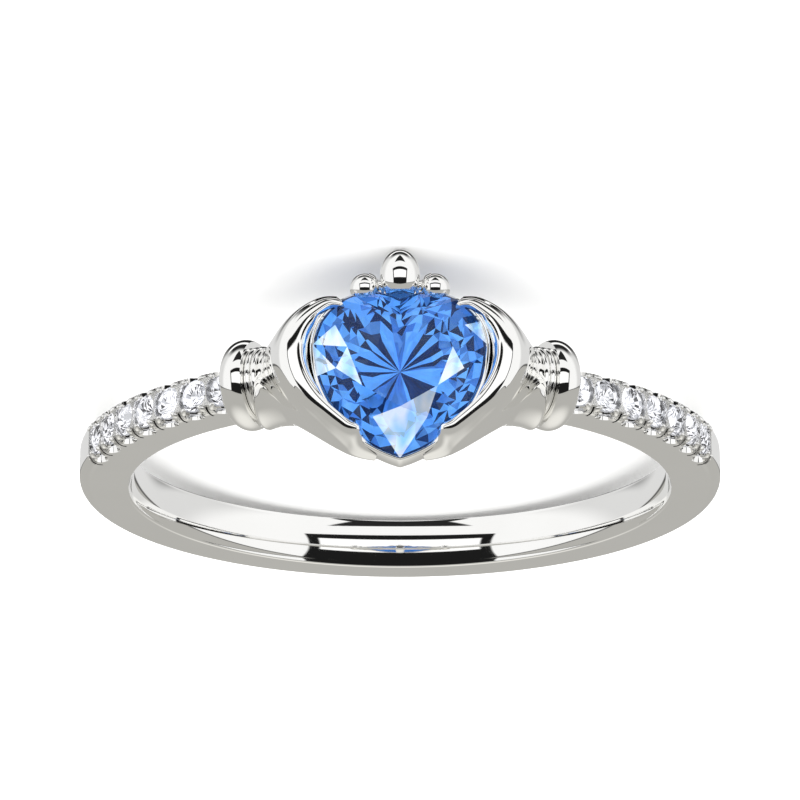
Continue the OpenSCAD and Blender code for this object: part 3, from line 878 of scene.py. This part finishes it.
# The bowl of deep facets, in rings that are shares of its radius. The first BOWL_STAR rings keep a regular
# star, the bands up to BOWL_CORE carry the painted shades above, and further out each painted shade has its
# chance. The other rings are uneven by shares of a sector, of the radius, and by millimetres in depth
BOWL_SHARES = [0.12, 0.26, 0.4, 0.53, 0.65, 0.76, 0.87, 1.0]
BOWL_SECTORS = 2 * len(CORE_PAINTED_SHADES)
BOWL_STAR = 2
BOWL_CORE = 3
BOWL_CHANCES = [0.36, 0.34, 0.30]
BOWL_TOP = GIRDLE_LOW - 0.05
BOWL_DEPTH = PAVILION_H - 0.3
BOWL_IN = 0.16
BOWL_SHELL_IN = 0.08
TURN_WOBBLE = 0.4
REACH_WOBBLE = 0.03
DEPTH_WOBBLE = 0.04


def rim_points(z):
    return [np.array([*heart_point(a), z]) for a in RIM_ANGLES]


def stone_crown():
    """Faces of the crown and girdle: each one's kind, number from the tip, side and corners."""
    top = [np.array([x * HEART_W, y * HEART_W, GIRDLE_Z + CROWN_H]) for x, y in TABLE]
    star = [np.array([x * HEART_W, y * HEART_W, GIRDLE_Z + h]) for (x, y), h in zip(STARS, STAR_H)]
    rim, low = rim_points(GIRDLE_Z), rim_points(GIRDLE_LOW)
    right = []
    for k in range(len(star)):
        right.append(("star", k, [top[k], star[k], top[k + 1]]))
        right.append(("upper", 2 * k, [star[k], rim[2 * k], rim[2 * k + 1]]))
        right.append(("upper", 2 * k + 1, [star[k], rim[2 * k + 1], rim[2 * k + 2]]))
    for k in range(len(top)):
        if k < len(star):
            right.append(("kite", k, [top[k], rim[2 * k], star[k]]))
        if k > 0:
            right.append(("low_kite", k, [top[k], star[k - 1], rim[2 * k]]))
    for k in range(RIM_FACETS):
        right.append(("girdle", k, [rim[k], low[k], low[k + 1], rim[k + 1]]))
    faces = [(kind, k, 1, corners) for kind, k, corners in right]
    faces += [(kind, k, -1, [c * (-1, 1, 1) for c in reversed(corners)]) for kind, k, corners in right]
    faces.append(("table", 0, 1, top + [p * (-1, 1, 1) for p in reversed(top[1:-1])]))
    return faces


def heart_shell():
    """The stone's outer facets: its crown, its girdle and a plain pavilion."""
    faces = stone_crown()
    culet = np.array([0, CULET_Y, GIRDLE_LOW - PAVILION_H])
    low = rim_points(GIRDLE_LOW)
    for k in range(RIM_FACETS):
        faces.append(("pavilion", k, 1, [culet, low[k + 1], low[k]]))
        faces.append(("pavilion", k, -1, [culet, low[k] * (-1, 1, 1), low[k + 1] * (-1, 1, 1)]))
    shell = Solid()
    for *_, corners in faces:
        shell.add(corners, [range(len(corners))])
    obj = shell.make("heart_shell", SHELL, "blue_stone", flat=True)
    # The listed crown facets glow with the painted flash
    obj.data.materials.append(PAINTED_FLASH)
    painted_flashes = [int((kind, k, side) in PAINTED_FLASH_FACETS) for kind, k, side, corners in faces]
    obj.data.polygons.foreach_set("material_index", painted_flashes)
    face_outwards(obj.data, merge=True)
    return obj


def make_facets(solid, name, materials, slot, painted_shades):
    """A piece of flat facets, each in the material of its painted shade."""
    obj = solid.make(name, materials[0], slot, flat=True)
    for material in materials[1:]:
        obj.data.materials.append(material)
    obj.data.polygons.foreach_set("material_index", painted_shades)
    face_outwards(obj.data, merge=True)
    return obj


def rim_radius(out):
    """The heart's radius round the culet's axis, by angle from straight down towards its tip."""
    right = np.array(heart_curve(out, 60))
    angle = np.arctan2(right[:, 1] - CULET_Y, right[:, 0]) + math.pi / 2
    radius = np.hypot(right[:, 0], right[:, 1] - CULET_Y)
    order = np.argsort(angle)
    return lambda a: np.interp(abs(a), angle[order], radius[order])


def sector_angle(j):
    return math.pi * (2 * j / BOWL_SECTORS - 1) + math.pi / BOWL_SECTORS


def round_culet(a, r, z):
    """A point at an angle and a radius round the culet's axis."""
    return (r * math.sin(a), CULET_Y - r * math.cos(a), z)


def core_painted_shade(j):
    """The painted shade of a sector near the culet, the same on both sides of the stone."""
    a = abs(2 * (j + 0.5) / BOWL_SECTORS - 1 + 1 / BOWL_SECTORS)
    return CORE_PAINTED_SHADES[min(int(a * len(CORE_PAINTED_SHADES)), len(CORE_PAINTED_SHADES) - 1)]


def bowl_points(chance):
    """The bowl's culet and rings: the inner ones uneven in depth only, the last one not at all."""
    radius = rim_radius(-BOWL_IN)
    last = len(BOWL_SHARES) - 1
    points = [(0, CULET_Y, BOWL_TOP - BOWL_DEPTH)]
    for k, share in enumerate(BOWL_SHARES):
        for j in range(BOWL_SECTORS):
            a = sector_angle(j)
            if k >= BOWL_STAR:
                a += chance.uniform(-TURN_WOBBLE, TURN_WOBBLE) * FULL_TURN / BOWL_SECTORS
            reach, lift = share, 0
            if k < last:
                reach += chance.uniform(-REACH_WOBBLE, REACH_WOBBLE) * (k >= BOWL_STAR)
                lift = chance.uniform(-DEPTH_WOBBLE, DEPTH_WOBBLE)
            points.append(round_culet(a, radius(a) * reach, BOWL_TOP - BOWL_DEPTH * (1 - share) + lift))
    return points


def heart_facets():
    """The deep facets: a bowl of many small mirrors between the pavilion and the crown, each painted light,
    half shade or shade and glowing with painted light.
    """
    chance = np.random.default_rng(11)
    points = bowl_points(chance)
    faces, painted_shades = [], []

    def spot(k, j):
        """The number of the point on ring k in sector j."""
        return 1 + k * BOWL_SECTORS + j % BOWL_SECTORS

    last = len(BOWL_SHARES) - 1
    for j in range(BOWL_SECTORS):
        faces.append((0, spot(0, j + 1), spot(0, j)))
        painted_shades.append(core_painted_shade(j))
        for k in range(last):
            a, b, c, d = spot(k, j), spot(k, j + 1), spot(k + 1, j + 1), spot(k + 1, j)
            faces += [(a, b, c), (a, c, d)] if chance.random() < 0.5 else [(a, b, d), (b, c, d)]
            if k < BOWL_CORE:
                painted_shades += [core_painted_shade(j)] * 2
            else:
                painted_shades += [int(chance.choice(3, p=BOWL_CHANCES)) for _ in range(2)]

    # The bowl's outside is a plain cone, which closes it; its facets are painted shade and painted half shade
    base = len(points)
    radius = rim_radius(-BOWL_SHELL_IN)
    for j in range(BOWL_SECTORS):
        points.append(round_culet(sector_angle(j), radius(sector_angle(j)), BOWL_TOP))
        n = (j + 1) % BOWL_SECTORS
        faces.append((spot(last, j), spot(last, j + 1), base + n, base + j))
        faces.append((base + j, base + n, base + BOWL_SECTORS))
        painted_shades += [PAINTED_DARK_SHADE, PAINTED_HALF_SHADE]
    points.append((0, CULET_Y, GIRDLE_LOW - PAVILION_H + 0.1))
    return make_facets(Solid().add(points, faces), "heart_facets", PAINTED_BLUE_FACETS, "blue_stone", painted_shades)


for piece in (heart_shell(), heart_facets()):
    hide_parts("heart_stone")


# Facets in the shoulder stones: a shallow bowl in each, with its rings as shares of its radius, and its
# facets painted light, half shade or shade by chance
DISH_SHARES = [0.38, 0.7, 1.0]
DISH_SECTORS = 16
DISH_R = STONE_R * 0.9
DISH_TOP = -0.02
DISH_DEPTH = 0.34
DISH_SHELL_R = STONE_R * 0.93
DISH_SHELL_TOP = -0.035
DISH_SHELL_LOW = -0.4
DISH_WOBBLE = 0.3
DISH_CHANCES = [0.52, 0.28, 0.20]


def dish(chance):
    """Points, faces and painted shades of one small stone's deep facets."""
    last = len(DISH_SHARES) - 1
    points = [(0, 0, DISH_TOP - DISH_DEPTH)]
    for k, share in enumerate(DISH_SHARES):
        for j in range(DISH_SECTORS):
            wobble = chance.uniform(-DISH_WOBBLE, DISH_WOBBLE) if k < last else 0
            a = FULL_TURN * (j + wobble) / DISH_SECTORS
            r = DISH_R * share
            points.append((r * math.cos(a), r * math.sin(a), DISH_TOP - DISH_DEPTH * (1 - share)))
    for j in range(DISH_SECTORS):
        a = FULL_TURN * j / DISH_SECTORS
        points.append((DISH_SHELL_R * math.cos(a), DISH_SHELL_R * math.sin(a), DISH_SHELL_TOP))
    points.append((0, 0, DISH_SHELL_LOW))
    rim, shell = 1 + last * DISH_SECTORS, 1 + (last + 1) * DISH_SECTORS
    faces, painted_shades = [], []
    for j in range(DISH_SECTORS):
        n = (j + 1) % DISH_SECTORS
        faces.append((0, 1 + j, 1 + n))
        for k in range(last):
            a, b = 1 + k * DISH_SECTORS, 1 + (k + 1) * DISH_SECTORS
            faces += [(a + j, b + j, b + n), (a + j, b + n, a + n)]
        faces += [(rim + n, rim + j, shell + j, shell + n), (shell + j, len(points) - 1, shell + n)]
        painted_shades += [int(t) for t in chance.choice(3, size=2 * last + 1, p=DISH_CHANCES)] + [PAINTED_HALF_SHADE, PAINTED_HALF_SHADE]
    return points, faces, painted_shades


def shoulder_facets():
    """The deep facets of the small stones, painted light, half shade or shade, with a painted glow."""
    chance = np.random.default_rng(4)
    whole, painted_shades = Solid(), []
    for i in range(STONE_COUNT):
        for side in (1, -1):
            points, faces, some_painted_shades = dish(chance)
            whole.add(place_on_ring(points, stone_angle(i), SEAT_R) * (side, 1, 1), faces)
            painted_shades += some_painted_shades
    make_facets(whole, "shoulder_facets", PAINTED_CLEAR_FACETS, "clear_stone", painted_shades)


shoulder_facets()


def seat_cutter():
    """The heart stone grown by its gap, from its culet up to above its crown."""
    gap = STONE_GAP * 1.5
    right = heart_curve(gap, 24)
    outline = right + [(-x, y) for x, y in reversed(right[1:-1])]
    top = [(x, y, GIRDLE_Z + 2) for x, y in outline]
    low = [(x, y, GIRDLE_LOW - gap) for x, y in outline]
    tip = [(x * 1e-3, CULET_Y + y * 1e-3, GIRDLE_LOW - PAVILION_H - gap * 2) for x, y in outline]
    return Solid().skin([tip, low, top])


for piece in (band, under):
    cut_away(piece, [seat_cutter()])

for obj in bpy.data.objects:
    if obj.get("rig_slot") == "silver":
        face_outwards(obj.data)
        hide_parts("ring_metal")

for name, node in frame["nodes"].items():
    if name in ("ring_metal", "heart_stone"):
        continue
    for material_slot in node.material_slots:
        material_slot.material = CLEAR


# Camera and floor

ELEVATION = math.radians(16.5) + TILT
CAMERA_FAR = 150 * MM
CAMERA_AIM = 2.27 * MM
CAMERA_LENS = 207.9
SENSOR = 36
TO_CAMERA = Vector((0, -math.cos(ELEVATION), math.sin(ELEVATION)))
PICTURE_UP = Vector((0, -math.sin(ELEVATION), -math.cos(ELEVATION)))
PICTURE_RIGHT = Vector((-1, 0, 0))
FLOOR_HALF = 3.0


def camera():
    data = bpy.data.cameras.new("camera")
    data.lens = CAMERA_LENS
    data.sensor_width = SENSOR
    data.clip_start = 0.001
    data.clip_end = 10
    obj = add_object("camera", data)
    place = TO_CAMERA * CAMERA_FAR
    ahead = (PICTURE_UP * CAMERA_AIM - place).normalized()
    right = ahead.cross(PICTURE_UP).normalized()
    turn = Matrix((right, right.cross(ahead), -ahead)).transposed()
    obj.matrix_world = Matrix.Translation(place) @ turn.to_4x4()
    bpy.context.scene.camera = obj


camera()


def floor():
    low = cad_box[0][2]
    half = FLOOR_HALF
    mesh = bpy.data.meshes.new("floor")
    mesh.from_pydata([(-half, -half, low), (half, -half, low), (half, half, low), (-half, half, low)],
                     [], [(0, 1, 2, 3)])
    mat, nodes, links, shader = new_material("pale_floor", {"Roughness": 0.7})
    grain = noise(nodes, links, 6.0, 2.0)
    links.new(ramp(nodes, links, grain, (0.3, (0.93, 0.93, 0.925)), (0.7, (0.95, 0.95, 0.945))),
              shader.inputs["Base Color"])
    mesh.materials.append(mat)
    obj = add_object("floor", mesh)
    obj.visible_glossy = False
    obj.visible_transmission = False


floor()


# Studio

DEG = math.pi / 180
WHITE = (1.0, 1.0, 0.995, 1)
WARM = (1.0, 0.985, 0.93, 1)
# Brightness of the wall in front and what it loses behind, of the ground near and what it gains far down,
# and of the dark line between them
WALL_FRONT, WALL_LOSS = 0.98, 0.25
GROUND_NEAR, GROUND_GAIN = 0.46, 0.4
DARK_LINE = 0.12
# Zones over the wall, each with its brightness: the frame, the window in it, the peak, the cap and its lamp.
# Low, high and reach are in degrees, and the softness of the edges in radians
EDGE = 0.012
PEAK_SLOPE = 26 / 29
ZONES = [
    (0.012, {"low": -16, "high": 46, "reach": 40}),
    (1.1, {"low": 9, "high": 36, "reach": 35}),
    (0.02, {"low": 67, "high": 96, "reach": PEAK_SLOPE * 96, "side_soft": 0.02, "slope": PEAK_SLOPE}),
    (0.02, {"low": 101, "high": 164, "reach": 32, "soft": 0.14, "side_soft": 0.2}),
    (1.1, {"low": 124, "high": 136, "reach": 33, "soft": 0.03, "side_soft": 0.08}),
]
# What the camera sees as plain white, and how much more light the floor gets
PLAIN = 0.98
FLOOR_GAIN = 0.9


class Studio:
    """Masks and brightnesses over the directions that the metal and the stones look in."""

    def __init__(self, tree):
        self.nodes, self.links = tree.nodes, tree.links
        self.nodes.clear()
        self.direction = self.nodes.new("ShaderNodeTexCoord").outputs["Generated"]
        self.ahead = self.dot(TO_CAMERA)
        self.rise = self.value("ARCTAN2", self.dot(PICTURE_UP), self.ahead)
        self.side = self.value("ABSOLUTE", self.value("ARCSINE", self.dot(PICTURE_RIGHT)))

    def value(self, operation, a, b=None):
        node = self.nodes.new("ShaderNodeMath")
        node.operation = operation
        for socket, v in zip(node.inputs, (a, b)):
            if isinstance(v, (int, float)):
                socket.default_value = v
            elif v is not None:
                self.links.new(v, socket)
        return node.outputs[0]

    def dot(self, vector):
        node = self.nodes.new("ShaderNodeVectorMath")
        node.operation = "DOT_PRODUCT"
        self.links.new(self.direction, node.inputs[0])
        node.inputs[1].default_value = vector
        return node.outputs["Value"]

    def step(self, x, edge, soft):
        """0 below an edge and 1 above it"""
        node = self.nodes.new("ShaderNodeMapRange")
        node.interpolation_type = "SMOOTHSTEP"
        node.inputs["From Min"].default_value = edge - soft
        node.inputs["From Max"].default_value = edge + soft
        self.links.new(x, node.inputs["Value"])
        return node.outputs["Result"]

    def inverse(self, mask):
        return self.value("SUBTRACT", 1.0, mask)

    def between(self, x, low, high, soft):
        return self.value("MULTIPLY", self.step(x, low, soft), self.inverse(self.step(x, high, soft)))

    def zone(self, low, high, reach, soft=EDGE, side_soft=EDGE, slope=0.0):
        """From low to high over the camera's direction, out to reach on each side, less with a slope."""
        across = self.side
        if slope:
            across = self.value("ADD", across, self.value("MULTIPLY", self.rise, slope))
        tall = self.between(self.rise, low * DEG, high * DEG, soft)
        return self.value("MULTIPLY", tall, self.inverse(self.step(across, reach * DEG, side_soft)))

    def paint(self, base, mask, brightness):
        """base where the mask is 0 and brightness where it is 1"""
        kept = self.value("MULTIPLY", base, self.inverse(mask))
        return self.value("ADD", kept, self.value("MULTIPLY", mask, brightness))

    def background(self, colour, strength):
        """colour is a plain one or a socket"""
        node = self.nodes.new("ShaderNodeBackground")
        if isinstance(colour, tuple):
            node.inputs["Color"].default_value = colour
        else:
            self.links.new(colour, node.inputs["Color"])
        self.links.new(strength, node.inputs["Strength"])
        return node.outputs[0]


def world():
    """White walls and a grey ground for the metal and the stones, and plain white for camera and floor."""
    scene_world = bpy.data.worlds.new("studio")
    bpy.context.scene.world = scene_world
    scene_world.use_nodes = True
    studio = Studio(scene_world.node_tree)
    nodes, links, value = studio.nodes, studio.links, studio.value

    height = value("ADD", studio.dot(PICTURE_UP + TO_CAMERA * 0.11), 0.12)
    behind = studio.step(value("MULTIPLY", studio.ahead, -1.0), 0.2, 0.2)
    wall = value("SUBTRACT", WALL_FRONT, value("MULTIPLY", behind, WALL_LOSS))
    deep = studio.step(value("MULTIPLY", height, -1.0), 0.7, 0.2)
    ground = value("ADD", GROUND_NEAR, value("MULTIPLY", deep, GROUND_GAIN))
    light = studio.paint(wall, studio.inverse(studio.step(height, 0.0, 0.01)), ground)
    light = studio.paint(light, studio.between(height, -0.012, 0.012, 0.008), DARK_LINE)
    for brightness, zone in ZONES:
        light = studio.paint(light, studio.zone(**zone), brightness)

    tint = nodes.new("ShaderNodeMix")
    tint.data_type = "RGBA"
    links.new(studio.step(height, 0.0, 0.02), tint.inputs["Factor"])
    tint.inputs["A"].default_value = WARM
    tint.inputs["B"].default_value = WHITE
    path = nodes.new("ShaderNodeLightPath").outputs
    plain = value("ADD", PLAIN, value("MULTIPLY", path["Is Diffuse Ray"], FLOOR_GAIN))
    choose = nodes.new("ShaderNodeMixShader")
    links.new(value("MAXIMUM", path["Is Camera Ray"], path["Is Diffuse Ray"]), choose.inputs["Fac"])
    links.new(studio.background(tint.outputs["Result"], light), choose.inputs[1])
    links.new(studio.background(WHITE, plain), choose.inputs[2])
    links.new(choose.outputs[0], nodes.new("ShaderNodeOutputWorld").inputs["Surface"])


world()


def softbox():
    """A broad soft lamp over the ring, a little towards the camera."""
    place = Vector((0.0, -0.05, 0.6))
    data = bpy.data.lights.new("softbox_top", "AREA")
    data.shape = "SQUARE"
    data.size = 0.9
    data.energy = 0.8
    obj = add_object("softbox_top", data)
    obj.location = place
    obj.rotation_euler = (-place).to_track_quat("-Z", "Y").to_euler()
    obj.visible_glossy = False
    obj.visible_transmission = False


softbox()

bpy.context.scene.view_settings.view_transform = "Standard"
